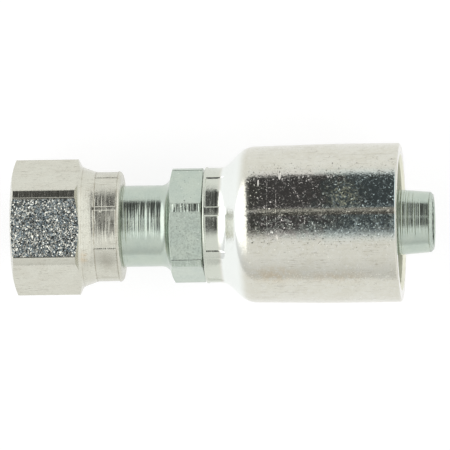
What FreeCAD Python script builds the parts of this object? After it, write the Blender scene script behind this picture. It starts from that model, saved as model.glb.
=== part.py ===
import FreeCAD, Part
import math
import os

# A straight crimp fitting for a half-inch hydraulic hose, with a 37 degree female swivel nut.
# It is three pieces: a turned stem with a barbed tail, a shell that is crimped over the hose,
# and a hexagon nut whose rear collar is pressed in behind the stem's head.
# X runs along the flow, from the centre of the nut's front face towards the hose. Z is up.
# Lengths are in millimetres. Angles round the axis are in degrees from Z towards Y.

# The hose that it takes
hose_bore_d = 12.7
hose_outside_d = 22.2

# Clearances between the pieces
running_gap = 0.08       # nut collar round the shank, on the radius
swivel_play = 0.2        # along the axis, between the head's shoulder and the nut's
head_gap = 0.5           # nut chamber round the head, on the radius
nose_gap = 0.7           # last full thread to the nose
neck_gap = 0.2           # hexagon's rear face to the front of the shell's neck
rib_gap = 0.3            # shell round the locking rib, on the radius
hose_gap = 0.3           # shell's teeth round the hose, on the radius

# Nut
nut_flats = 22.225
nut_corner_cut = 0.4     # turned off each corner of the full hexagon, on the radius
nut_face_step = 0.71     # front face inside the flats, on the radius
nut_front_chamfer = 0.58
nut_hex_length = 12.62
nut_rear_chamfer = 0.62
nut_waist_step = 0.06    # waist inside the flats, on the radius
nut_waist_length = 2.5
nut_waist_rounding = 1.3
nut_turn = 0.0

# Thread of the nut, 3/4-16, drawn as its minor bore
thread_major_d = 19.05
thread_minor_d = 17.4
thread_lead_in = 0.125   # countersink beyond the major diameter, on the radius
thread_relief = 0.175    # the same for the run-out groove
thread_relief_length = 2.4

# Nut's collar, pressed in behind the stem's head
collar_wall = 2.605
collar_length = 5.0
collar_edge = 0.8
collar_root_rounding = 0.8
collar_grip_inset = 0.6
collar_bore_chamfer = 0.3
collar_mark_depth = 0.09
collar_mark_width = 38.6
collar_mark_inset = 0.45
collar_mark_turn = -3.1
collar_lip = 0.7

# Stem: head, seat and shank
shank_d = 14.95
head_step = 0.925        # head outside the shank, on the radius
head_length = 5.2
head_edge = 0.3
seat_angle = 37.0
seat_rim = 0.45          # nose's flat rim round the seat
shank_length = 8.43      # nut to the root of the stem's hexagon
shank_fillet = 1.6

# Stem: hexagon
stem_flats = 19.05
stem_corner_cut = 0.4
stem_hex_length = 6.57
stem_hex_lean = 15.7     # front face's lean from square
stem_hex_edge = 0.2
stem_hex_turn = -11.8

# Stem: locking groove and rib under the shell's neck
groove_d = 14.4
rib_height = 1.0
rib_width = 1.6

# Stem: hose tail
tail_slack = 0.25        # tail's root inside the hose, on the radius
tail_wall = 1.6
barb_bite = 0.4          # barb's edge into the hose, on the radius
barb_count = 6
barb_pitch = 4.0
barb_land = 0.5
barb_start = 4.0         # from the rib to the first barb
pilot_shoulder = 0.1     # pilot's start inside the root, on the radius
pilot_taper = 0.45       # taper of the pilot, on the radius
pilot_lead = 3.2         # from the last barb to the pilot's start
pilot_length = 5.9
pilot_edge = 0.5
flow_edge = 0.2

# Shell
neck_wall = 3.5
neck_length = 3.77
neck_edge = 0.45
neck_inside_length = 3.15
neck_fillet = 3.0
neck_mark_depth = 0.2
neck_mark_width = 36.2
neck_mark_inset = 0.75
neck_mark_length = 2.23
neck_mark_turn = -8.7
shell_wall = 2.73
shell_taper = 0.33       # front of the sleeve inside its rear, on the radius
shell_taper_length = 15.3
shell_taper_rounding = 40.0
shell_shoulder_wall = 2.4
shell_shoulder_rounding = 4.8
shell_length = 35.9
shell_edge = 0.3
shell_mouth_chamfer = 0.5

# Teeth inside the shell
tooth_height = 0.5
tooth_land = 0.8
tooth_count = 5
tooth_pitch = 4.2
tooth_start = 6.6        # from the end of the inner shoulder

die_count = 8

ORIGIN = FreeCAD.Vector(0, 0, 0)
AXIS = FreeCAD.Vector(1, 0, 0)

# Radii
nut_corner_r = nut_flats / 2 / math.cos(math.radians(30)) - nut_corner_cut
stem_corner_r = stem_flats / 2 / math.cos(math.radians(30)) - stem_corner_cut
shank_r = shank_d / 2
head_r = shank_r + head_step
chamber_r = head_r + head_gap
collar_bore_r = shank_r + running_gap
collar_r = collar_bore_r + collar_wall
thread_r = thread_minor_d / 2
lead_in_r = thread_major_d / 2 + thread_lead_in
relief_r = thread_major_d / 2 + thread_relief
groove_r = groove_d / 2
rib_r = groove_r + rib_height
rib_room_r = rib_r + rib_gap
neck_r = groove_r + neck_wall
tail_root_r = hose_bore_d / 2 - tail_slack
barb_r = hose_bore_d / 2 + barb_bite
pilot_base_r = tail_root_r - pilot_shoulder
pilot_tip_r = pilot_base_r - pilot_taper
flow_r = tail_root_r - tail_wall
seat_mouth_r = head_r - seat_rim
tooth_r = hose_outside_d / 2 + hose_gap
shell_bore_r = tooth_r + tooth_height
shell_r = shell_bore_r + shell_wall
shell_front_r = shell_r - shell_taper

# Places along the axis
nut_hex_end = nut_hex_length
collar_start = nut_hex_end + nut_waist_length
nut_end = collar_start + collar_length
grip_start = collar_start + collar_grip_inset
head_end = grip_start + running_gap - swivel_play
nose_front = head_end - head_step - head_length
seat_end = nose_front + (seat_mouth_r - flow_r) / math.tan(math.radians(seat_angle))
thread_start = lead_in_r - thread_r
thread_end = nose_front - nose_gap
hex_root = nut_end + shank_length
hex_end = hex_root + stem_hex_length
neck_front = hex_end + neck_gap
neck_end = neck_front + neck_length
rib_front = neck_front + neck_inside_length
rib_end = rib_front + rib_width
tail_start = rib_end + rib_r - tail_root_r
barbs_from = rib_end + barb_start
barbs_to = barbs_from + barb_count * barb_pitch
pilot_start = barbs_to + pilot_lead
stem_end = pilot_start + pilot_length
shell_shoulder_end = neck_end + shell_front_r - neck_r
shell_taper_end = shell_shoulder_end + shell_taper_length
shell_end = neck_front + shell_length
# The inner shoulder runs parallel to the outer one, one wall behind it.
inner_shoulder_start = neck_end + shell_shoulder_wall * math.sqrt(2) - neck_r + rib_room_r
inner_shoulder_end = inner_shoulder_start + shell_bore_r - rib_room_r


def contour(corners):
    """A closed face in the plane of X and radius. A corner is (x, radius) or (x, radius, rounding)."""
    points = [FreeCAD.Vector(corner[0], corner[1], 0) for corner in corners]
    starts = []
    ends = []
    arcs = []
    for i, corner in enumerate(corners):
        here = points[i]
        back = points[i - 1] - here
        ahead = points[(i + 1) % len(points)] - here
        rounding = corner[2] if len(corner) > 2 else 0
        if not rounding:
            starts.append(here)
            ends.append(here)
            arcs.append(None)
            continue
        half = back.getAngle(ahead) / 2
        reach = min(rounding / math.tan(half), 0.45 * min(back.Length, ahead.Length))
        radius = reach * math.tan(half)
        back.normalize()
        ahead.normalize()
        middle = back + ahead
        middle.normalize()
        starts.append(here + back * reach)
        ends.append(here + ahead * reach)
        arcs.append(here + middle * (radius / math.sin(half) - radius))
    edges = []
    for i in range(len(points)):
        if arcs[i] is not None:
            edges.append(Part.Arc(starts[i], arcs[i], ends[i]).toShape())
        edges.append(Part.LineSegment(ends[i], starts[(i + 1) % len(points)]).toShape())
    return Part.Face(Part.Wire(edges))


def turned(corners, sweep=360.0):
    """A solid turned about the axis from its half section."""
    return contour(corners).revolve(ORIGIN, AXIS, sweep)


def hexagon(flats, start, end, turn):
    """A hexagonal bar along the axis, with a flat facing turn."""
    corner_r = flats / 2 / math.cos(math.radians(30))
    points = []
    for k in range(7):
        angle = math.radians(turn + 30 + 60 * k)
        points.append(FreeCAD.Vector(start, corner_r * math.sin(angle), corner_r * math.cos(angle)))
    return Part.Face(Part.makePolygon(points)).extrude(AXIS * (end - start))


def mill_hexagon(stock, flats, stock_r, start, end, turn):
    """Mill six flats into the stock between start and end."""
    blank = turned([(start, 0), (end, 0), (end, stock_r + 1), (start, stock_r + 1)])
    return stock.cut(blank.cut(hexagon(flats, start - 1, end + 1, turn)))


def press_marks(stock, outside_r, depth, start, end, width, turn):
    """Press a ring of die marks into a round, with narrow ridges left between the dies."""
    floor = outside_r - depth
    top = outside_r + depth
    section = [(start, floor), (end, floor), (end + 2 * depth, top), (start - 2 * depth, top)]
    dies = []
    for k in range(die_count):
        die = turned(section, width)
        middle = turn + 360.0 * k / die_count
        die.rotate(ORIGIN, AXIS, 90 - middle - width / 2)
        dies.append(die)
    return stock.cut(dies)


def swivel_nut():
    """Hexagon nut with a threaded front, a chamber for the head and a pressed-in collar."""
    outside = [
        (0, nut_flats / 2 - nut_face_step),
        (nut_front_chamfer, nut_corner_r),
        (nut_hex_end - nut_rear_chamfer, nut_corner_r),
        (nut_hex_end, nut_flats / 2 - nut_waist_step, nut_waist_rounding),
        (collar_start, collar_r, collar_root_rounding),
        (nut_end, collar_r, collar_edge),
    ]
    inside = [
        (nut_end, collar_bore_r + collar_bore_chamfer),
        (nut_end - collar_bore_chamfer, collar_bore_r),
        (grip_start, collar_bore_r),
        (grip_start + collar_bore_r - chamber_r, chamber_r),
        (thread_end + thread_relief_length + relief_r - chamber_r, chamber_r),
        (thread_end + thread_relief_length, relief_r),
        (thread_end + relief_r - thread_r, relief_r),
        (thread_end, thread_r),
        (thread_start, thread_r),
        (0, lead_in_r),
    ]
    nut = turned(outside + inside)
    nut = mill_hexagon(nut, nut_flats, nut_corner_r, 0, nut_hex_end, nut_turn)
    return press_marks(nut, collar_r, collar_mark_depth, collar_start + collar_mark_inset,
                       nut_end - collar_lip, collar_mark_width, collar_mark_turn)


def barbs():
    """Half section of the tail's barbs: each rises away from the hose's end and drops at a sharp edge."""
    corners = []
    for k in range(barb_count):
        edge = barbs_from + k * barb_pitch
        corners.append((edge, tail_root_r))
        corners.append((edge, barb_r))
        corners.append((edge + barb_land, barb_r))
    return corners


def hose_stem():
    """The stem, turned from hexagon bar: head with its cone seat, shank, hexagon, groove and tail."""
    lean = (stem_corner_r - shank_r) * math.tan(math.radians(stem_hex_lean))
    front = [
        (nose_front, head_r - head_edge),
        (nose_front + head_edge, head_r),
        (head_end - head_step, head_r),
        (head_end, shank_r),
        (hex_root, shank_r, shank_fillet),
        (hex_root + lean, stem_corner_r),
        (hex_end - stem_hex_edge, stem_corner_r),
        (hex_end, stem_corner_r - stem_hex_edge),
        (hex_end, groove_r),
        (rib_front, groove_r),
        (rib_front, rib_r),
        (rib_end, rib_r),
        (tail_start, tail_root_r),
    ]
    tail = [
        (barbs_to, tail_root_r),
        (pilot_start, pilot_base_r),
        (stem_end - pilot_edge, pilot_tip_r),
        (stem_end, pilot_tip_r - pilot_edge),
    ]
    inside = [
        (stem_end, flow_r + flow_edge),
        (stem_end - flow_edge, flow_r),
        (seat_end, flow_r),
        (nose_front, seat_mouth_r),
    ]
    stem = turned(front + barbs() + tail + inside)
    return mill_hexagon(stem, stem_flats, stem_corner_r, hex_root, hex_end, stem_hex_turn)


def teeth():
    """Half section of the shell's teeth, from the mouth inwards."""
    corners = []
    for k in reversed(range(tooth_count)):
        middle = inner_shoulder_end + tooth_start + k * tooth_pitch
        corners.append((middle + tooth_land / 2 + tooth_height, shell_bore_r))
        corners.append((middle + tooth_land / 2, tooth_r))
        corners.append((middle - tooth_land / 2, tooth_r))
        corners.append((middle - tooth_land / 2 - tooth_height, shell_bore_r))
    return corners


def crimp_shell():
    """The shell: a neck crimped into the stem's groove, a 45 degree shoulder and a toothed sleeve."""
    outside = [
        (neck_front, neck_r, neck_edge),
        (neck_end, neck_r, neck_fillet),
        (shell_shoulder_end, shell_front_r, shell_shoulder_rounding),
        (shell_taper_end, shell_r, shell_taper_rounding),
        (shell_end - shell_edge, shell_r),
        (shell_end, shell_r - shell_edge),
    ]
    mouth = [
        (shell_end, shell_bore_r + shell_mouth_chamfer),
        (shell_end - shell_mouth_chamfer, shell_bore_r),
    ]
    seat = [
        (inner_shoulder_end, shell_bore_r),
        (inner_shoulder_start, rib_room_r),
        (rib_front, rib_room_r),
        (rib_front, groove_r),
        (neck_front, groove_r),
    ]
    shell = turned(outside + mouth + teeth() + seat)
    mark_start = neck_front + neck_mark_inset
    return press_marks(shell, neck_r, neck_mark_depth, mark_start, mark_start + neck_mark_length,
                       neck_mark_width, neck_mark_turn)


def main():
    os.makedirs("parts", exist_ok=True)
    pieces = {"hose_stem": hose_stem(), "crimp_shell": crimp_shell(), "swivel_nut": swivel_nut()}
    for node, shape in pieces.items():
        shape.exportStep("parts/" + node + ".step")
        print(node, len(shape.Solids), "solid", round(shape.Volume, 1), "mm3")


main()
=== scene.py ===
import bmesh
import bpy
import math
from mathutils import Matrix, Vector


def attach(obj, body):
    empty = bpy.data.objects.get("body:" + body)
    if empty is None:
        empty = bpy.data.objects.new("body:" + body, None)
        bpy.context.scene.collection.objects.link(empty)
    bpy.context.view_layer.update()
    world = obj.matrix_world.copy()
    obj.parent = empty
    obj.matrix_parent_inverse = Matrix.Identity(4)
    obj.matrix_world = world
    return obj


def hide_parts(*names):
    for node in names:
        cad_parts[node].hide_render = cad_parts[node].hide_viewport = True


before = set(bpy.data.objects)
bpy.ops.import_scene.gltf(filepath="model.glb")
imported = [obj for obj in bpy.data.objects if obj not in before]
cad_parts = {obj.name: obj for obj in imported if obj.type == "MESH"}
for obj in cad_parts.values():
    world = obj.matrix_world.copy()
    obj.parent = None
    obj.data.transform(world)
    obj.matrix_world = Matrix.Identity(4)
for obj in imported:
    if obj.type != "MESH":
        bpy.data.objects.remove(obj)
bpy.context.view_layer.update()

# The look of the crimp hose fitting. Each CAD node is replaced by a finer mesh of the same piece.
# Lengths are in millimetres here and turned into metres where a mesh or a place is made.
# X runs along the fitting, and angles round it are in degrees from Z towards Y, as in the part.

MM = 0.001

# Driving sizes, the solids' own. A few differ from theirs a little, to look as in the photo:
# collar_mark_depth, collar_mark_width, shank_fillet, neck_edge, neck_mark_inset, shell_wall, shell_taper.
hose_bore_r = 6.35
hose_outside_r = 11.1

running_gap = 0.08
swivel_play = 0.2
head_gap = 0.5
nose_gap = 0.7
neck_gap = 0.2
rib_gap = 0.3
hose_gap = 0.3

nut_flat_r = 11.1125
nut_corner_cut = 0.4
nut_face_step = 0.71
nut_chamfer = 0.58
nut_rear_chamfer = 0.62
nut_hex_end = 12.62
nut_waist_step = 0.06
nut_waist_length = 2.5
nut_waist_rounding = 1.3
nut_waist_low = 10.75
thread_minor_r = 8.7
thread_major_r = 9.525
thread_pitch = 1.5875
thread_lead_in = 0.125
thread_relief = 0.175
relief_length = 2.4
collar_wall = 2.605
collar_length = 5.0
collar_edge = 0.8
collar_bore_edge = 0.3
collar_grip_inset = 0.6
collar_mark_inset = 0.7
collar_mark_depth = 0.12
collar_mark_width = 41.0
collar_mark_turn = -3.1
collar_mark_rise = 0.03

shank_r = 7.475
shank_length = 8.43
shank_fillet = 1.9
head_step = 0.925
head_length = 5.2
head_edge = 0.3
seat_rim = 0.45
seat_angle = 37.0
stem_flat_r = 9.525
stem_corner_cut = 0.4
stem_hex_length = 6.57
hex_lean = 15.7
stem_edge = 0.2
stem_turn = -11.8
groove_r = 7.2
rib_height = 1.0
rib_width = 1.6
tail_slack = 0.25
tail_wall = 1.6
barb_bite = 0.4
barb_land = 0.5
barb_pitch = 4.0
barb_count = 6
barb_start = 4.0
pilot_shoulder = 0.1
pilot_taper = 0.45
pilot_lead = 3.2
pilot_length = 5.9
pilot_edge = 0.5
flow_edge = 0.2

neck_wall = 3.5
neck_length = 3.77
neck_inside_length = 3.15
neck_edge = 0.38
neck_fillet = 3.0
neck_mark_inset = 0.6
neck_mark_depth = 0.2
neck_mark_width = 36.2
neck_mark_turn = -8.7
shell_wall = 2.72
shell_taper = 0.32
shell_length = 35.9
shell_edge = 0.3
shoulder_wall = 2.4
shoulder_rounding = 4.8
taper_length = 15.3
taper_rounding = 40.0
mouth_chamfer = 0.5
tooth_height = 0.5
tooth_land = 0.8
tooth_count = 5
tooth_pitch = 4.2
tooth_start = 6.6

die_count = 8
die_fade = 0.8

# Radii that follow from them
nut_corner_r = nut_flat_r / math.cos(math.radians(30)) - nut_corner_cut
nut_face_r = nut_flat_r - nut_face_step
nut_waist_r = nut_flat_r - nut_waist_step
lead_in_r = thread_major_r + thread_lead_in
relief_r = thread_major_r + thread_relief
head_r = shank_r + head_step
chamber_r = head_r + head_gap
seat_mouth_r = head_r - seat_rim
collar_bore_r = shank_r + running_gap
collar_r = collar_bore_r + collar_wall
stem_corner_r = stem_flat_r / math.cos(math.radians(30)) - stem_corner_cut
rib_r = groove_r + rib_height
rib_room_r = rib_r + rib_gap
tail_root_r = hose_bore_r - tail_slack
barb_r = hose_bore_r + barb_bite
pilot_base_r = tail_root_r - pilot_shoulder
pilot_tip_r = pilot_base_r - pilot_taper
flow_r = tail_root_r - tail_wall
neck_r = groove_r + neck_wall
tooth_r = hose_outside_r + hose_gap
bore_r = tooth_r + tooth_height
mouth_r = bore_r + mouth_chamfer
shell_r = bore_r + shell_wall
front_r = shell_r - shell_taper

# Places along the axis that follow from them
nut_rear_chamfer_start = nut_hex_end - nut_rear_chamfer
collar_start = nut_hex_end + nut_waist_length
collar_end = collar_start + collar_length
collar_mark_end = collar_end - collar_mark_inset
grip_start = collar_start + collar_grip_inset
head_end = grip_start + running_gap - swivel_play
nose_front = head_end - head_step - head_length
seat_end = nose_front + (seat_mouth_r - flow_r) / math.tan(math.radians(seat_angle))
thread_end = nose_front - nose_gap
hex_root = collar_end + shank_length
hex_end = hex_root + stem_hex_length
neck_front = hex_end + neck_gap
neck_mark_start = neck_front + neck_mark_inset
neck_end = neck_front + neck_length
rib_start = neck_front + neck_inside_length
rib_end = rib_start + rib_width
barbs_from = rib_end + barb_start
pilot_start = barbs_from + barb_count * barb_pitch + pilot_lead
stem_end = pilot_start + pilot_length
taper_end = neck_end + front_r - neck_r + taper_length
shell_end = neck_front + shell_length
inner_shoulder_start = neck_end + shoulder_wall * math.sqrt(2) - neck_r + rib_room_r
inner_shoulder_end = inner_shoulder_start + bore_r - rib_room_r

# Where a thread's crest ends and its root starts, in pitches from the middle of the crest
crest_end = 0.125
root_start = 0.4375

# How fine the meshes are. A hair is too small to see and keeps two points apart, and a corner's
# half angle stays just under the right angle.
hair = 0.002
right_angle = 1.5707
hex_step = 2.5
shell_step = 2
beside_corner = (-1.4, -0.8, -0.45, -0.2, 0, 0.2, 0.45, 0.8, 1.4)
beside_die = (-0.9, -0.6, -0.3, 0, 0.3, 0.6, 0.9)
clear_of_edge = 0.12
least_turn = 0.1
edge_share = 0.96
edge_inset = 0.1
thread_steps = 12
waist_steps = 16
waist_lead = 0.08
lip_steps = 12
lip_start = 0.16
weld_reach = 0.0002
sharp_from = 38

# Marks at their own places. A spot is given by its place and half sizes along the axis and across.
shell_dents = [
    (49.8, 8.9, 0.25, 0.9),
    (48.4, -1.5, 0.25, 0.3),
    (49.3, -2.4, 0.2, 0.5),
    (45.9, 7.6, 0.15, 0.7),
]
# Painted shade along the shell's lower side: each spot with its depth.
shell_painted_shade = [((48.7, -9.2, 6.5, 2.2), 0.9), ((60.0, -9.8, 9.0, 1.6), 0.6)]
shell_ring_scratches = (47.56, 49.2)
film_patch = (61.6, 5.2, 5.5, 4.2)
film_line_y = 2.2
nut_stain = (13.4, -5.6, 1.1, 1.6)
nut_shadow = (17.4, -6.4, 2.0, 2.6)
nut_pit = (16.6, 2.7, 0.22, 0.26)
# Dark lines round the nut at its steps: place, half width and share.
nut_step_lines = [(13.05, 0.16, 0.4), (15.38, 0.16, 0.8), (19.5, 0.14, 0.75)]
nut_grain = 5.0
stem_nick = (32.1, 4.4, 0.35, 0.25)

# How the part lies, and the floor that it touches with two edges
rest_tilt = 4.1
nut_rest_edge = (0.2, 0, -11.11)
shell_rest_edge = (44.68, 0, -front_r)
floor_gap = 0.02
floor_half_size = 3000

camera_tilt = 4.4
camera_distance = 3000
picture_roll = -0.84
picture_width = 82.6
picture_centre = (38.78, -0.02, 0)


def smooth(value, low, high):
    """0 below low, 1 above high, and an even curve between them."""
    t = min(max((value - low) / (high - low), 0.0), 1.0)
    return t * t * (3 - 2 * t)


def straight(value, low, high):
    """0 below low, 1 above high, straight between them."""
    return min(max((value - low) / (high - low), 0.0), 1.0)


def hex_radius(angle, flat_r, corner_r, turn):
    """Radius of a hexagon with turned-off corners, with its edges just broken."""
    off = (angle - turn + 30) % 60 - 30
    flat = flat_r / math.cos(math.radians(off))
    soft = 0.02
    low = min(flat, corner_r)
    return low - soft * math.log(math.exp((low - flat) / soft) + math.exp((low - corner_r) / soft))


def pressed(angle, width, turn):
    """1 on a die's mark, 0 on the ridge between two dies."""
    pitch = 360.0 / die_count
    off = abs((angle - turn + pitch / 2) % pitch - pitch / 2)
    return 1 - smooth(off, width / 2 - die_fade, width / 2 + die_fade)


def corner_shares(places, reaches, closed):
    """How much of each rounding finds room on the edges beside it."""
    count = len(places)
    shares = [1.0] * count
    for i in range(count if closed else count - 1):
        j = (i + 1) % count
        room = edge_share * (places[j] - places[i]).length
        if reaches[i] + reaches[j] > room:
            share = room / (reaches[i] + reaches[j])
            shares[i] = min(shares[i], share)
            shares[j] = min(shares[j], share)
    return shares


def rounding(first, here, last, half_angle, steps):
    """Points of a rounding from first to last, round the corner at here."""
    weight = math.sin(half_angle)
    points = []
    for step in range(steps + 1):
        t = step / steps
        a = (1 - t) ** 2
        b = 2 * t * (1 - t) * weight
        c = t * t
        points.append((first * a + here * b + last * c) / (a + b + c))
    return points


def section(corners, closed=True):
    """Points of a half section. A corner is (x, radius), or (x, radius, rounding, steps)."""
    count = len(corners)
    places = [Vector(corner[:2]) for corner in corners]
    halves = []
    reaches = []
    for i, corner in enumerate(corners):
        back = places[i - 1] - places[i]
        ahead = places[(i + 1) % count] - places[i]
        halves.append(min(back.angle(ahead, math.pi) / 2, right_angle))
        wanted = max(corner[2], hair) if len(corner) > 2 else 0.0
        reaches.append(wanted / max(math.tan(halves[-1]), 0.01))
    shares = corner_shares(places, reaches, closed)
    arcs = []
    for i, corner in enumerate(corners):
        here = places[i]
        if len(corner) == 2:
            arcs.append([here])
            continue
        reach = reaches[i] * shares[i]
        first = here + (places[i - 1] - here).normalized() * reach
        last = here + (places[(i + 1) % count] - here).normalized() * reach
        arcs.append(rounding(first, here, last, halves[i], corner[3]))
    points = []
    for i, arc in enumerate(arcs):
        points.extend(arc)
        j = (i + 1) % count
        if (j == 0 and not closed) or len(corners[i]) + len(corners[j]) == 4:
            continue
        run = arcs[j][0] - arc[-1]
        inset = min(edge_inset, run.length / 4)
        points.append(arc[-1] + run.normalized() * inset)
        points.append(arcs[j][0] - run.normalized() * inset)
    return points


def stations(step, edges=(), spread=()):
    """Angles round the axis: every step degrees, and closer beside each edge."""
    marks = set(round(k * step, 3) for k in range(int(round(360 / step))))
    for edge in edges:
        near = [edge + offset for offset in spread]
        marks = {m for m in marks if all(abs((m - n + 180) % 360 - 180) > clear_of_edge for n in near)}
        marks.update(round(n % 360, 3) for n in near)
    return sorted(marks)


def merge_angles(first, second):
    """Both lists of angles in one, with no two too close."""
    merged = []
    for angle in sorted(first + second):
        if not merged or angle - merged[-1] > least_turn:
            merged.append(angle)
    return merged


def hex_edges(flat_r, corner_r, turn):
    """Angles at which a hexagon's flats run into its turned-off corners."""
    corner = math.degrees(math.acos(flat_r / corner_r))
    return [turn + 60 * k + side * corner for k in range(6) for side in (-1, 1)]


def die_edges(width, turn):
    """Angles at which the dies' marks end."""
    pitch = 360 / die_count
    return [turn + pitch * k + side * width / 2 for k in range(die_count) for side in (-1, 1)]


def around(rings, angles, closed, shift=0):
    """Vertices and faces of rings of (x, radius) points, one ring to each angle."""
    verts = []
    for ring, angle in zip(rings, angles):
        s = math.sin(math.radians(angle))
        c = math.cos(math.radians(angle))
        verts.extend((x * MM, r * s * MM, r * c * MM) for x, r in ring)
    size = len(rings[0])
    faces = []
    for k in range(len(rings)):
        wraps = k == len(rings) - 1
        move = shift if wraps else 0
        here = k * size
        there = 0 if wraps else here + size
        for i in range(size if closed else size - 1):
            j = (i + 1) % size
            if closed or (min(i, j) + move >= 0 and max(i, j) + move < size):
                faces.append((here + i, here + j, there + (j + move) % size, there + (i + move) % size))
    return verts, faces


def build(name, parts, finish):
    """One object from vertex and face lists that meet edge to edge."""
    mesh = bpy.data.meshes.new(name)
    verts = []
    faces = []
    for part_verts, part_faces in parts:
        base = len(verts)
        verts.extend(part_verts)
        faces.extend(tuple(base + i for i in face) for face in part_faces)
    mesh.from_pydata(verts, [], faces)
    obj = bpy.data.objects.new(name, mesh)
    bpy.context.scene.collection.objects.link(obj)
    weld(mesh)
    mesh.materials.append(finish)
    mesh.shade_smooth()
    mesh.set_sharp_from_angle(angle=math.radians(sharp_from))
    return obj


def weld(mesh):
    """Joins points that lie on one another and drops the faces that this leaves without area."""
    work = bmesh.new()
    work.from_mesh(mesh)
    bmesh.ops.remove_doubles(work, verts=work.verts, dist=weld_reach * MM)
    bmesh.ops.dissolve_degenerate(work, edges=work.edges, dist=weld_reach * MM)
    work.to_mesh(mesh)
    work.free()


def waist_curve():
    """The nut's turned outside behind its hexagon, as radius and place along the axis."""
    points = section([
        (nut_rear_chamfer_start, nut_corner_r),
        (nut_hex_end, nut_waist_r, nut_waist_rounding, 40),
        (collar_start, collar_r),
    ], False)
    return [(point[1], point[0]) for point in points]


def place_at(curve, r):
    """Place along the axis where a curve that falls away has radius r."""
    for (r0, x0), (r1, x1) in zip(curve, curve[1:]):
        if r0 >= r >= r1 and r0 > r1:
            return x0 + (x1 - x0) * (r0 - r) / (r0 - r1)
    return curve[0][1] if r > curve[0][0] else curve[-1][1]


def nut_waist(r, curve):
    """The waist from radius r down to its lowest place."""
    points = []
    for step in range(waist_steps + 1):
        here = r + (nut_waist_low - r) * step / waist_steps
        points.append((place_at(curve, here), here))
    return points


def collar_lip():
    """The collar's round rear edge."""
    points = []
    for step in range(lip_steps + 1):
        turn = lip_start + (math.pi / 2 - lip_start) * step / lip_steps
        along = collar_end - collar_edge + collar_edge * math.sin(turn)
        points.append((along, collar_r - collar_edge + collar_edge * math.cos(turn)))
    return points


def nut_ring(angle, curve):
    """Half section of the nut at one angle, without its thread."""
    r = min(hex_radius(angle, nut_flat_r, nut_corner_r, 0), nut_corner_r)
    front = (r - nut_face_r) * nut_chamfer / (nut_corner_r - nut_face_r)
    waist = nut_waist(r, curve)
    waist_slope = (nut_waist_r - collar_r) / (collar_start - nut_hex_end)
    mark_r = collar_r - collar_mark_depth * pressed(angle, collar_mark_width, collar_mark_turn)
    lip = collar_lip()
    return section([
        (0, lead_in_r),
        (0, nut_face_r, 0.2, 2),
        (front, r, 0.1, 3),
        (waist[0][0] - waist_lead, r),
        *waist,
        (nut_hex_end + (nut_waist_r - mark_r) / waist_slope, mark_r, 0.2, 4),
        (collar_mark_end - collar_mark_rise, min(mark_r, lip[0][1] - hair), 0.05, 2),
        *lip,
        (collar_end, collar_bore_r + collar_bore_edge, 0.05, 2),
        (collar_end - collar_bore_edge, collar_bore_r, 0.05, 2),
        (grip_start, collar_bore_r, 0.05, 2),
        (grip_start + collar_bore_r - chamber_r, chamber_r, 0.1, 2),
        (thread_end + relief_length + relief_r - chamber_r, chamber_r, 0.1, 2),
        (thread_end + relief_length, relief_r, 0.1, 2),
        (thread_end + relief_r - thread_minor_r, relief_r),
    ], False)


def thread_radius(x, angle):
    """Inside of the nut at the thread: the groove, its countersink and its run-out."""
    phase = (x / thread_pitch - angle / 360.0) % 1.0
    off = abs(phase - 0.5)
    depth = straight(off, crest_end, root_start)
    groove = thread_minor_r + (thread_major_r - thread_minor_r) * depth
    return max(groove, lead_in_r - x, thread_minor_r + x - thread_end)


def thread_rings(angles):
    """Rings that follow the thread's helix, so that its crests stay whole."""
    last = thread_end + relief_r - thread_minor_r
    count = int(math.ceil((last / thread_pitch + 1) * thread_steps)) + 1
    rings = []
    for angle in angles:
        ring = []
        for j in range(count, -1, -1):
            x = thread_pitch * (j / thread_steps - 1 + angle / 360.0)
            x = min(max(x, 0.0), last)
            ring.append((x, thread_radius(x, angle)))
        rings.append(ring)
    return rings


def make_nut(finish):
    """The swivel nut, with a true thread inside."""
    corners = hex_edges(nut_flat_r, nut_corner_r, 0)
    dies = die_edges(collar_mark_width, collar_mark_turn)
    angles = merge_angles(stations(hex_step, corners, beside_corner), stations(360, dies, beside_die))
    curve = waist_curve()
    outside = around([nut_ring(angle, curve) for angle in angles], angles, False)
    thread = around(thread_rings(angles), angles, False, -thread_steps)
    return build("swivel_nut_detail", [outside, thread], finish)


def barbs():
    """Corners of the hose tail's barbs."""
    corners = []
    for k in range(barb_count):
        x = barbs_from + k * barb_pitch
        corners.append((x, tail_root_r, 0.05, 2))
        corners.append((x, barb_r, 0.05, 2))
        corners.append((x + barb_land, barb_r, 0.1, 2))
    return corners


def stem_ring(angle):
    """Half section of the stem at one angle."""
    r = hex_radius(angle, stem_flat_r, stem_corner_r, stem_turn)
    front = hex_root + (r - shank_r) * math.tan(math.radians(hex_lean))
    edge = max(0.05, r - stem_corner_r + stem_edge)
    return section([
        (nose_front, seat_mouth_r, 0.1, 2),
        (nose_front, head_r - head_edge, 0.1, 2),
        (nose_front + head_edge, head_r, 0.1, 2),
        (head_end - head_step, head_r, 0.1, 2),
        (head_end, shank_r, 0.1, 2),
        (hex_root, shank_r, shank_fillet, 10),
        (front, r, 0.12, 3),
        (hex_end - edge, r, 0.05, 2),
        (hex_end, r - edge, 0.05, 2),
        (hex_end, groove_r, 0.05, 1),
        (rib_start, groove_r, 0.05, 1),
        (rib_start, rib_r, 0.1, 2),
        (rib_end, rib_r, 0.1, 2),
        (rib_end + rib_r - tail_root_r, tail_root_r, 0.3, 3),
        *barbs(),
        (barbs_from + barb_count * barb_pitch, tail_root_r, 0.3, 2),
        (pilot_start, pilot_base_r, 0.5, 2),
        (stem_end - pilot_edge, pilot_tip_r, 0.2, 4),
        (stem_end, pilot_tip_r - pilot_edge, 0.1, 3),
        (stem_end, flow_r + flow_edge, 0.05, 2),
        (stem_end - flow_edge, flow_r, 0.05, 2),
        (seat_end, flow_r, 0.1, 2),
    ])


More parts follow.
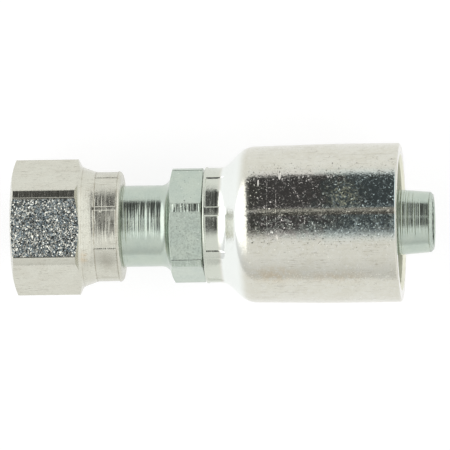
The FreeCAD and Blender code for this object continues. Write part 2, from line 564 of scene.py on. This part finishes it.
def make_stem(finish):
    """The hose stem, from its nose to the tip of its pilot."""
    angles = stations(hex_step, hex_edges(stem_flat_r, stem_corner_r, stem_turn), beside_corner)
    rings = [stem_ring(angle) for angle in angles]
    return build("hose_stem_detail", [around(rings, angles, True)], finish)


def teeth():
    """Corners of the ring teeth in the shell's bore, from the mouth inwards."""
    half = tooth_land / 2
    height = bore_r - tooth_r
    corners = []
    for k in reversed(range(tooth_count)):
        middle = inner_shoulder_end + tooth_start + k * tooth_pitch
        corners.append((middle + half + height, bore_r, 0.1, 2))
        corners.append((middle + half, tooth_r, 0.1, 2))
        corners.append((middle - half, tooth_r, 0.1, 2))
        corners.append((middle - half - height, bore_r, 0.1, 2))
    return corners


def shell_ring(angle):
    """Half section of the shell at one angle."""
    pressing = neck_mark_depth * pressed(angle, neck_mark_width, neck_mark_turn)
    return section([
        (neck_front, groove_r, 0.05, 1),
        (neck_front, neck_r, neck_edge, 6),
        (neck_mark_start - neck_mark_depth, neck_r, 0.1, 2),
        (neck_mark_start, neck_r - pressing, 0.1, 2),
        (neck_end - pressing, neck_r - pressing, neck_fillet, 12),
        (neck_end + front_r - neck_r, front_r, shoulder_rounding, 12),
        (taper_end, shell_r, taper_rounding, 4),
        (shell_end - shell_edge, shell_r, 0.1, 2),
        (shell_end, shell_r - shell_edge, 0.1, 2),
        (shell_end, mouth_r, 0.1, 2),
        (shell_end - mouth_r + bore_r, bore_r, 0.1, 2),
        *teeth(),
        (inner_shoulder_end, bore_r, 0.3, 2),
        (inner_shoulder_start, rib_room_r, 0.3, 2),
        (rib_start, rib_room_r, 0.05, 1),
        (rib_start, groove_r, 0.05, 1),
    ])


def make_shell(finish):
    """The crimp shell, with its crimped neck and its ring teeth."""
    angles = stations(shell_step, die_edges(neck_mark_width, neck_mark_turn), beside_die)
    rings = [shell_ring(angle) for angle in angles]
    return build("crimp_shell_detail", [around(rings, angles, True)], finish)


class Nodes:
    """Short calls for the nodes of one tree."""

    def __init__(self, tree):
        self.tree = tree
        tree.nodes.clear()

    def node(self, kind, inputs=None, **settings):
        """A new node. Each input takes a plain value or another node's output."""
        made = self.tree.nodes.new(kind)
        for key, value in settings.items():
            setattr(made, key, value)
        for key, value in (inputs or {}).items():
            if isinstance(value, bpy.types.NodeSocket):
                self.tree.links.new(value, made.inputs[key])
            else:
                made.inputs[key].default_value = value
        return made

    def calc(self, operation, a, b=0.0, c=0.0):
        """One step of arithmetic."""
        return self.node("ShaderNodeMath", {0: a, 1: b, 2: c}, operation=operation).outputs[0]

    def times(self, first, *others):
        """All values multiplied."""
        for other in others:
            first = self.calc("MULTIPLY", first, other)
        return first

    def most(self, first, *others):
        """The largest value."""
        for other in others:
            first = self.calc("MAXIMUM", first, other)
        return first

    def plus(self, value, share, amount):
        """value, with that share of amount on top."""
        return self.calc("MULTIPLY_ADD", share, amount, value)

    def vector(self, operation, a, b=(0.0, 0.0, 0.0)):
        """One step of vector arithmetic."""
        return self.node("ShaderNodeVectorMath", {0: a, 1: b}, operation=operation).outputs["Vector"]

    def number(self, operation, a, b=(0.0, 0.0, 0.0)):
        """A length or a product that vectors make."""
        return self.node("ShaderNodeVectorMath", {0: a, 1: b}, operation=operation).outputs["Value"]

    def ramp(self, value, low, high, to_low=0.0, to_high=1.0):
        """value from low to high made into to_low to to_high, on an even curve."""
        if low > high:
            low, high, to_low, to_high = high, low, to_high, to_low
        inputs = {0: value, 1: low, 2: high, 3: to_low, 4: to_high}
        return self.node("ShaderNodeMapRange", inputs, interpolation_type="SMOOTHSTEP").outputs[0]

    def span(self, value, start, full, fade, end):
        """1 from full to fade, and 0 outside start to end."""
        return self.times(self.ramp(value, start, full), self.ramp(value, end, fade))

    def beside(self, value, at, full, end):
        """1 up to full away from a place, and 0 from end on."""
        return self.ramp(self.calc("ABSOLUTE", self.calc("SUBTRACT", value, at)), end, full)

    def mix(self, share, a, b):
        """Colour a, and b where share is 1."""
        return self.node("ShaderNodeMix", {0: share, 6: a, 7: b}, data_type="RGBA").outputs[2]


class Finish(Nodes):
    """A metal finish. Places and sizes in it are in millimetres."""

    def __init__(self, name):
        self.material = bpy.data.materials.new(name)
        self.material.use_nodes = True
        super().__init__(self.material.node_tree)
        place = self.node("ShaderNodeTexCoord").outputs["Object"]
        self.place = self.vector("MULTIPLY", place, (1 / MM, 1 / MM, 1 / MM))
        parts = self.node("ShaderNodeSeparateXYZ", {0: self.place}).outputs
        self.x = parts["X"]
        self.y = parts["Y"]
        self.z = parts["Z"]
        self.reach = self.number("LENGTH", self.vector("MULTIPLY", self.place, (0, 1, 1)))

    def flat_height(self):
        """How far out the outermost of the nut's three pairs of flats lies here."""
        heights = []
        for turn in (0, 60, 120):
            normal = (0, math.sin(math.radians(turn)), math.cos(math.radians(turn)))
            heights.append(self.calc("ABSOLUTE", self.number("DOT_PRODUCT", self.place, normal)))
        return self.most(*heights)

    def stretched(self, along, across, turn=0.0):
        """Places scaled along the axis and across it, for long marks."""
        inputs = {"Vector": self.place, "Scale": (along, across, across)}
        inputs["Rotation"] = (0, 0, math.radians(turn))
        return self.node("ShaderNodeMapping", inputs).outputs[0]

    def noise(self, scale, detail=2.0, roughness=0.5, vector=None):
        """Uneven values round 0.5, with scale in waves to the millimetre."""
        inputs = {"Vector": vector or self.place, "Scale": scale, "Detail": detail, "Roughness": roughness}
        return self.node("ShaderNodeTexNoise", inputs).outputs["Fac"]

    def blotches(self, noise, low, high, to_low=0.0, to_high=1.0):
        """Noise, given by its scale, detail and roughness, made into to_low to to_high."""
        return self.ramp(self.noise(*noise), low, high, to_low, to_high)

    def cells(self, scale):
        """Random cells, scale of them to the millimetre."""
        return self.node("ShaderNodeTexVoronoi", {"Vector": self.place, "Scale": scale}).outputs

    def chance(self, cells, channel):
        """A value from 0 to 1 for each cell."""
        return self.node("ShaderNodeSeparateColor", {0: cells["Color"]}).outputs[channel]

    def specks(self, scale, size, share):
        """Small round spots in a share of the cells."""
        cells = self.cells(scale)
        chosen = self.ramp(self.chance(cells, 0), 1 - share, 1 - share + 0.02)
        return self.times(self.ramp(cells["Distance"], size, 0.0), chosen)

    def hairline(self, at, half_width):
        """A fine line round the piece at one place along the axis."""
        return self.beside(self.x, at, 0.0, half_width)

    def spot(self, x, y, wide, tall):
        """A soft spot on the upper side, by its place and half sizes along the axis and across."""
        shift = self.vector("SUBTRACT", self.place, (x, y, 0))
        far = self.number("LENGTH", self.vector("MULTIPLY", shift, (1 / wide, 1 / tall, 0)))
        return self.times(self.ramp(far, 1.0, 0.0), self.ramp(self.z, 0.0, 1.0))

    def scratches(self, turn, along, across, share):
        """Thin broken lines, mostly in one direction."""
        lines = self.noise(1.0, 2, 0.6, self.stretched(along, across, turn))
        line = self.beside(lines, 0.5, 0.0, 0.018)
        return self.times(line, self.blotches((0.35, 3, 0.7), 1 - share, 1.1 - share))

    def facets(self, normal, scale, amount):
        """Grains that each lean their own way, by up to half of amount."""
        lean = self.vector("SUBTRACT", self.cells(scale)["Color"], (0.5, 0.5, 0.5))
        lean = self.node("ShaderNodeVectorMath", {0: lean, "Scale": amount}, operation="SCALE").outputs[0]
        return self.vector("NORMALIZE", self.vector("ADD", normal, lean))

    def bump(self, height, depth, normal=None):
        """depth is for a height of 1."""
        inputs = {"Height": height, "Distance": depth * MM, "Strength": 1.0}
        if normal:
            inputs["Normal"] = normal
        return self.node("ShaderNodeBump", inputs).outputs[0]

    def metal(self, color, roughness, normal):
        """The finished material."""
        inputs = {"Base Color": color, "Metallic": 1.0, "Roughness": roughness, "Normal": normal}
        shader = self.node("ShaderNodeBsdfPrincipled", inputs).outputs[0]
        self.node("ShaderNodeOutputMaterial", {0: shader})
        return self.material


def colour(r, g, b):
    """Red, green and blue, fully opaque."""
    return (r, g, b, 1.0)


def shell_film(f, base):
    """base with the film on the shell's upper side, and where the film is blue, cloudy and yellow."""
    film = f.times(f.span(f.y, -4.0, 0.0, 7.5, 10.5), f.ramp(f.z, 8.0, 10.0))
    film = f.times(film, f.span(f.x, 44.0, 47.0, 70.9, 71.1))
    drift = f.plus(f.x, f.noise(0.22, 3, 0.6), 24.0)
    purple = f.times(film, f.span(drift, 54.0, 60.0, 67.0, 71.0))
    blue = f.times(film, f.ramp(drift, 66.0, 73.0))
    cloud = f.times(f.blotches((1.1, 5, 0.8), 0.42, 0.6), film, f.ramp(f.y, 2.0, 1.4, 0.3, 1.0))
    yellow = f.times(f.spot(*film_patch), f.blotches((1.6, 4, 0.75), 0.42, 0.62, 0.0, 1.5))
    yellow = f.times(film, f.calc("MINIMUM", yellow, 1.0))
    line = f.times(film, f.beside(f.y, film_line_y, 0.4, 0.9))
    base = f.mix(purple, base, colour(0.665, 0.63, 0.60))
    base = f.mix(blue, base, colour(0.57, 0.70, 0.71))
    base = f.mix(f.times(cloud, 0.6), base, colour(0.585, 0.665, 0.585))
    base = f.mix(yellow, base, colour(0.74, 0.77, 0.58))
    base = f.mix(line, base, colour(0.665, 0.65, 0.55))
    return base, blue, cloud, yellow


def shell_zinc(f):
    """Colour of the shell's clean zinc, with a cooler neck and a painted highlight on the cone."""
    uneven = f.blotches((0.25, 3), 0.35, 0.65)
    base = f.mix(uneven, colour(0.65, 0.645, 0.573), colour(0.62, 0.611, 0.531))
    base = f.mix(f.blotches((1.2, 5, 0.7), 0.45, 0.75), base, colour(0.667, 0.667, 0.611))
    base = f.mix(f.ramp(f.x, 38.6, 38.0), base, colour(0.61, 0.64, 0.565))
    # Painted highlight: the cone is painted paler, as if lit.
    return f.mix(f.span(f.x, 38.2, 39.0, 41.5, 43.5), base, colour(0.84, 0.87, 0.84))


def shell_marks(f, base):
    """Scratches and specks over the shell's colour, and tan painted shade along its lower side."""
    marks = f.most(f.scratches(3, 0.07, 1.9, 0.56), f.scratches(35, 0.25, 1.4, 0.46))
    marks = f.most(marks, f.specks(0.8, 0.16, 0.12))
    marks = f.times(marks, f.ramp(f.x, 43.0, 46.0, 0.0, 0.48))
    base = f.mix(marks, base, colour(0.36, 0.33, 0.27))
    # Painted shade: tan darkening along the shell's lower side.
    for place, depth in shell_painted_shade:
        stain_and_shade = f.times(f.spot(*place), f.blotches((0.7, 4, 0.7), 0.35, 0.6, 0.0, depth))
        base = f.mix(stain_and_shade, base, colour(0.60, 0.53, 0.41))
    return base


def shell_relief(f):
    """Grain, turning marks, ring scratches and dents of the shell."""
    sleeve = f.ramp(f.x, 42.0, 44.0)
    grain = f.times(f.noise(2.8, 4, 0.65), f.ramp(sleeve, 0.0, 1.0, 1.2, 1.0))
    normal = f.bump(grain, 0.012)
    turning = f.times(f.noise(1.0, 2, 0.6, f.stretched(3.0, 0.1)), f.ramp(f.x, 38.0, 37.0))
    normal = f.bump(turning, 0.08, normal)
    broken = f.ramp(f.noise(1.2, 2, 0.6, f.stretched(0.4, 2.0)), 0.4, 0.6)
    lines = f.most(*[f.hairline(at, 0.07) for at in shell_ring_scratches])
    lines = f.times(lines, f.span(f.y, -1.5, 0.0, 7.6, 8.6), broken)
    normal = f.bump(lines, 0.012, normal)
    normal = f.bump(f.most(*[f.spot(*dent) for dent in shell_dents]), -0.12, normal)
    sparkle = f.blotches((2.6, 3, 0.8), 0.53, 0.65, 0.02, 0.66)
    sparkle = f.times(sparkle, f.blotches((0.5, 2), 0.35, 0.6, 0.65, 1.15), sleeve)
    return f.facets(normal, 4.5, sparkle)


def shell_finish():
    """Crimp shell: zinc with a coloured film, rougher in its clouds, on the neck and inside."""
    f = Finish("shell zinc")
    base, blue, cloud, yellow = shell_film(f, shell_zinc(f))
    base = shell_marks(f, base)
    inside = f.times(f.ramp(f.reach, 12.6, 12.4), f.ramp(f.x, 43.0, 44.0))
    base = f.mix(f.times(inside, f.ramp(f.x, 60.0, 68.0)), base, colour(0.86, 0.86, 0.74))
    neck = f.ramp(f.x, 38.0, 37.5)
    rough = f.blotches((0.8, 4, 0.7), 0.3, 0.7, 0.05, 0.09)
    rough = f.plus(rough, f.blotches((0.9, 5, 0.8), 0.5, 0.66), 0.17)
    for share, amount in ((blue, 0.03), (yellow, 0.16), (cloud, 0.15), (neck, 0.12), (inside, 0.5)):
        rough = f.plus(rough, share, amount)
    return f.metal(base, rough, shell_relief(f))


def nut_zinc(f, grained):
    """Colour of the nut, with its stains and dark lines at its steps, and the coarse grain where grained
    is 1.
    """
    uneven = f.blotches((0.4, 3), 0.35, 0.65)
    base = f.mix(uneven, colour(0.63, 0.63, 0.55), colour(0.606, 0.60, 0.52))
    base = f.mix(f.blotches((2.2, 4, 0.75), 0.45, 0.7, 0.0, 0.45), base, colour(0.52, 0.52, 0.455))
    stain_and_shade = f.times(f.spot(*nut_stain), f.blotches((1.4, 3), 0.4, 0.6, 0.3, 1.0))
    base = f.mix(stain_and_shade, base, colour(0.58, 0.50, 0.37))
    shadow = f.times(f.spot(*nut_shadow), f.blotches((1.6, 3), 0.3, 0.55, 0.5, 1.0))
    base = f.mix(shadow, base, colour(0.47, 0.46, 0.39))
    worn = f.most(f.scratches(8, 0.15, 1.7, 0.55), f.specks(0.9, 0.14, 0.14))
    base = f.mix(f.times(worn, 0.75), base, colour(0.33, 0.31, 0.25))
    # Dark lines round the nut at its steps and creases.
    step_lines = f.most(*[f.times(f.hairline(at, half_width), share) for at, half_width, share in nut_step_lines])
    step_lines = f.times(step_lines, f.blotches((0.8, 4, 0.7), 0.35, 0.6, 0.3, 1.0))
    base = f.mix(step_lines, base, colour(0.30, 0.27, 0.20))
    grain = f.chance(f.cells(nut_grain), 2)
    tint = f.mix(grain, colour(0.66, 0.70, 0.70), colour(0.80, 0.79, 0.68))
    tint = f.mix(f.ramp(grain, 0.62, 0.56, 0.0, 0.9), tint, colour(0.12, 0.155, 0.17))
    return f.mix(grained, base, tint)


def nut_finish():
    """Swivel nut: coarse grain on the flats, turning marks elsewhere."""
    f = Finish("nut zinc")
    upper = f.calc("ADD", f.reach, f.ramp(f.y, -1, 1, 0, 0.08))
    on_flat = f.times(f.ramp(f.x, 13.2, 12.9), f.ramp(upper, 12.4, 12.3))
    on_flat = f.times(on_flat, f.ramp(f.flat_height(), 11.05, 11.1))
    facing = f.ramp(f.z, 10.8, 11.05)
    rough = f.blotches((0.8, 4, 0.7), 0.3, 0.7, 0.12, 0.2)
    rough = f.plus(rough, f.ramp(f.x, 15.2, 15.5), 0.12)
    streaks = f.noise(1.0, 2, 0.6, f.stretched(3.0, 0.1))
    edges = f.times(f.ramp(f.x, 12.6, 12.4), f.ramp(f.reach, 12.35, 12.4), 0.9)
    amount = f.most(edges, f.ramp(f.x, 14.5, 15.5, 0.3, 1.7))
    normal = f.bump(f.times(streaks, amount, f.calc("SUBTRACT", 1.0, on_flat)), 0.08)
    normal = f.bump(f.noise(4.5, 3, 0.6), 0.02, normal)
    normal = f.bump(f.spot(*nut_pit), -0.15, normal)
    normal = f.facets(normal, nut_grain, f.times(on_flat, f.ramp(facing, 0.0, 1.0, 0.16, 0.56)))
    return f.metal(nut_zinc(f, f.times(on_flat, facing)), rough, normal)


def stem_finish():
    """Hose stem: turned shank and pilot, and a speckled hexagon."""
    f = Finish("stem zinc")
    hexagon = f.span(f.x, 28.8, 29.2, 35.1, 35.3)
    uneven = f.blotches((0.4, 3), 0.35, 0.65)
    base = f.mix(uneven, colour(0.51, 0.573, 0.50), colour(0.475, 0.543, 0.48))
    base = f.mix(f.blotches((2.4, 4, 0.8), 0.5, 0.7, 0.0, 0.5), base, colour(0.40, 0.46, 0.40))
    base = f.mix(f.times(f.specks(1.3, 0.25, 0.3), hexagon), base, colour(0.66, 0.70, 0.64))
    rough = f.blotches((0.8, 4, 0.7), 0.3, 0.7, 0.10, 0.18)
    shank = f.times(f.ramp(f.x, 27.3, 26.9), f.ramp(f.y, 4.5, 0.5, 0.8, 1.6))
    shank = f.times(shank, f.ramp(f.y, -3.5, -0.8, 0.25, 1.0))
    pilot = f.times(f.ramp(f.x, 69.0, 70.0), f.ramp(f.y, -3.0, -1.4, 0.3, 1.0))
    corners = f.times(f.ramp(f.reach, 10.50, 10.56), f.ramp(f.x, 35.3, 35.1, 0.0, 1.6))
    fine = f.noise(1.0, 1.2, 0.6, f.stretched(3.7, 0.05))
    coarse = f.noise(1.0, 1.0, 0.5, f.stretched(2.7, 0.1))
    normal = f.bump(f.times(fine, f.most(shank, pilot)), 0.14)
    normal = f.bump(f.times(coarse, corners), 0.15, normal)
    normal = f.bump(f.spot(*stem_nick), -0.15, normal)
    normal = f.bump(f.noise(4.5, 3, 0.65), 0.015, normal)
    normal = f.bump(f.times(f.specks(1.5, 0.22, 0.3), hexagon), 0.06, normal)
    normal = f.bump(f.times(f.noise(2.2, 3, 0.7), f.ramp(f.x, 76.4, 76.7)), 0.25, normal)
    normal = f.facets(normal, 4.0, f.times(hexagon, 0.09))
    return f.metal(base, rough, normal)


def make_world():
    """A pale studio tent with a dark opening round the camera, split by one paler strip."""
    world = bpy.data.worlds.new("studio tent")
    world.use_nodes = True
    bpy.context.scene.world = world
    w = Nodes(world.node_tree)
    direction = w.node("ShaderNodeTexCoord").outputs["Generated"]
    up = w.number("DOT_PRODUCT", direction, tuple(floor_normal))
    across = w.number("DOT_PRODUCT", direction, (0, 1, 0))
    ahead = w.number("DOT_PRODUCT", direction, tuple(floor_right))

    # Angles from straight up, in degrees: tilt_y across the fitting, tilt_x along it
    tilt_y = w.times(w.calc("ARCTAN2", across, up), math.degrees(1))
    tilt_x = w.times(w.calc("ARCSINE", ahead), math.degrees(1))

    dark = w.times(w.span(tilt_y, -26, -5, 75, 79), w.span(tilt_x, -34, -26, 16, 24))
    shade = w.plus(0.06, w.ramp(w.calc("ABSOLUTE", w.calc("ADD", tilt_x, 8.5)), 3, 18), 0.14)
    shade = w.plus(shade, w.span(tilt_y, 18, 19, 21, 22), 0.76)
    behind = w.times(w.span(tilt_x, -90, -80, -34, -26), w.span(tilt_y, -60, -30, 70, 90))
    pale = w.plus(1.0, behind, 0.83)
    pale = w.plus(pale, w.span(tilt_x, 20, 28, 60, 80), 0.28)
    pale = w.plus(pale, w.span(tilt_y, -91, -85, -85, -45), -0.22)
    level = w.calc("ADD", w.times(shade, dark), w.times(pale, w.calc("SUBTRACT", 1.0, dark)))
    light = w.node("ShaderNodeCombineColor", {0: level, 1: level, 2: level}).outputs[0]
    shader = w.node("ShaderNodeBackground", {"Color": light, "Strength": 1.0}).outputs[0]
    w.node("ShaderNodeOutputWorld", {"Surface": shader})


def floor_finish():
    """White to the camera and in the metal, and a plain pale grey in the light that it sends up."""
    material = bpy.data.materials.new("white floor")
    material.use_nodes = True
    f = Nodes(material.node_tree)
    rays = f.node("ShaderNodeLightPath").outputs
    seen = f.calc("ADD", rays["Is Camera Ray"], rays["Is Glossy Ray"])
    seen = f.calc("MINIMUM", f.calc("ADD", seen, rays["Is Transmission Ray"]), 1.0)
    glow = f.node("ShaderNodeEmission", {"Color": colour(1, 1, 1), "Strength": 0.79}).outputs[0]
    soft = f.node("ShaderNodeBsdfDiffuse", {"Color": colour(0.3, 0.3, 0.3)}).outputs[0]
    plain = f.node("ShaderNodeBsdfDiffuse", {"Color": colour(0.8, 0.8, 0.8)}).outputs[0]
    white = f.node("ShaderNodeAddShader", {0: glow, 1: soft}).outputs[0]
    chosen = f.node("ShaderNodeMixShader", {0: seen, 1: plain, 2: white}).outputs[0]
    f.node("ShaderNodeOutputMaterial", {0: chosen})
    return material


def make_floor():
    """A wide floor that touches the part's two lowest edges and keeps its shadow."""
    touch = (Vector(nut_rest_edge) + Vector(shell_rest_edge)) / 2 - floor_normal * floor_gap
    mesh = bpy.data.meshes.new("floor")
    corners = []
    for a, b in ((-1, -1), (1, -1), (1, 1), (-1, 1)):
        corners.append((touch + (floor_right * a + Vector((0, b, 0))) * floor_half_size) * MM)
    mesh.from_pydata(corners, [], [(0, 1, 2, 3)])
    mesh.materials.append(floor_finish())
    floor = bpy.data.objects.new("floor", mesh)
    bpy.context.scene.collection.objects.link(floor)


def make_camera():
    """Nearly straight down on the floor, as in the photo, from far away."""
    lean = math.radians(camera_tilt)
    toward = Vector((math.sin(lean), 0, math.cos(lean)))
    level = Vector((math.cos(lean), 0, -math.sin(lean)))
    roll = math.radians(picture_roll)
    right = level * math.cos(roll) + Vector((0, 1, 0)) * math.sin(roll)
    camera = bpy.data.objects.new("camera", bpy.data.cameras.new("camera"))
    camera.data.sensor_width = 36
    camera.data.lens = camera.data.sensor_width * camera_distance / picture_width
    camera.data.clip_start = 0.1
    camera.data.clip_end = 10
    turn = Matrix((right, toward.cross(right), toward)).transposed().to_4x4()
    place = Vector(picture_centre) + toward * camera_distance
    camera.matrix_world = Matrix.Translation(place * MM) @ turn
    bpy.context.scene.collection.objects.link(camera)
    bpy.context.scene.camera = camera


tilt = math.radians(rest_tilt)
floor_normal = Vector((math.sin(tilt), 0, math.cos(tilt)))
floor_right = Vector((math.cos(tilt), 0, -math.sin(tilt)))

bpy.context.scene.view_settings.view_transform = "Standard"

nut = make_nut(nut_finish())
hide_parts("swivel_nut")
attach(nut, "nut")

stem = make_stem(stem_finish())
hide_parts("hose_stem")
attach(stem, "fitting")

shell = make_shell(shell_finish())
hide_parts("crimp_shell")
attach(shell, "fitting")

make_world()
make_floor()
make_camera()
